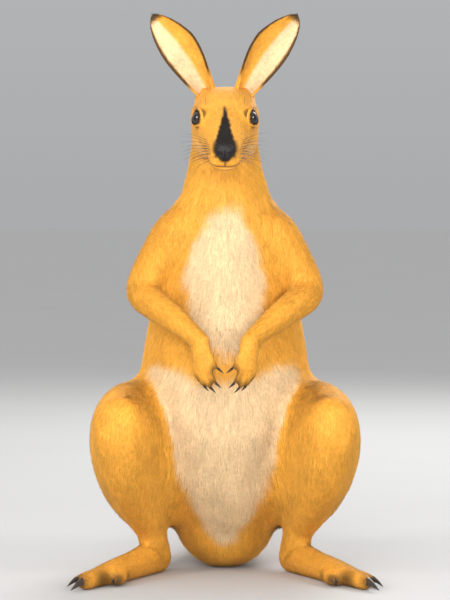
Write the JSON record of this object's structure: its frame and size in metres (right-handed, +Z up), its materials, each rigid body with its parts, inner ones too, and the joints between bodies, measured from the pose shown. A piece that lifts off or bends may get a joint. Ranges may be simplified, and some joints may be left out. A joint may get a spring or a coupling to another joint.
{
  "type": "agile wallaby",
  "caption": "Life-size agile wallaby sitting up on its haunches, sandy coat with a pale bib and belly, hands hanging together, tail laid straight out behind.",
  "frame": {"origin": "middle of the bounding box, on the floor that the feet, seat and tail rest on", "axes": "+Z up; the animal looks along -Y and its tail lies along +Y; +X is its left side"},
  "size_m": [0.3794, 1.001, 0.6924],
  "materials": {
    "sandy_coat": "short soft fur, matte with a faint sheen",
    "pale_coat": "short soft fur, cream on the bib and belly, matte",
    "nose_skin": "bare, finely pebbled, slightly moist",
    "eye": "wet gloss",
    "claw_horn": "satin horn"
  },
  "bodies": {
    "root": {"abdomen": "pale_coat", "chest": "pale_coat", "ear_left": "sandy_coat", "ear_right": "sandy_coat", "eye_left": "eye", "eye_right": "eye", "foot_claw_fifth_left": "claw_horn", "foot_claw_fifth_right": "claw_horn", "foot_claw_fourth_left": "claw_horn", "foot_claw_fourth_right": "claw_horn", "foot_claw_second_left": "claw_horn", "foot_claw_second_right": "claw_horn", "foot_claw_third_left": "claw_horn", "foot_claw_third_right": "claw_horn", "foot_left": "sandy_coat", "foot_right": "sandy_coat", "forearm_left": "sandy_coat", "forearm_right": "sandy_coat", "hand_claw_1_left": "claw_horn", "hand_claw_1_right": "claw_horn", "hand_claw_2_left": "claw_horn", "hand_claw_2_right": "claw_horn", "hand_claw_3_left": "claw_horn", "hand_claw_3_right": "claw_horn", "hand_claw_4_left": "claw_horn", "hand_claw_4_right": "claw_horn", "hand_claw_5_left": "claw_horn", "hand_claw_5_right": "claw_horn", "hand_left": "sandy_coat", "hand_right": "sandy_coat", "head": "sandy_coat", "lower_jaw": "pale_coat", "neck": "sandy_coat", "nose": "nose_skin", "shank_left": "sandy_coat", "shank_right": "sandy_coat", "tail_middle": "sandy_coat", "tail_root": "sandy_coat", "tail_tip": "sandy_coat", "thigh_left": "sandy_coat", "thigh_right": "sandy_coat", "upper_arm_left": "sandy_coat", "upper_arm_right": "sandy_coat"}
  },
  "joints": []
}
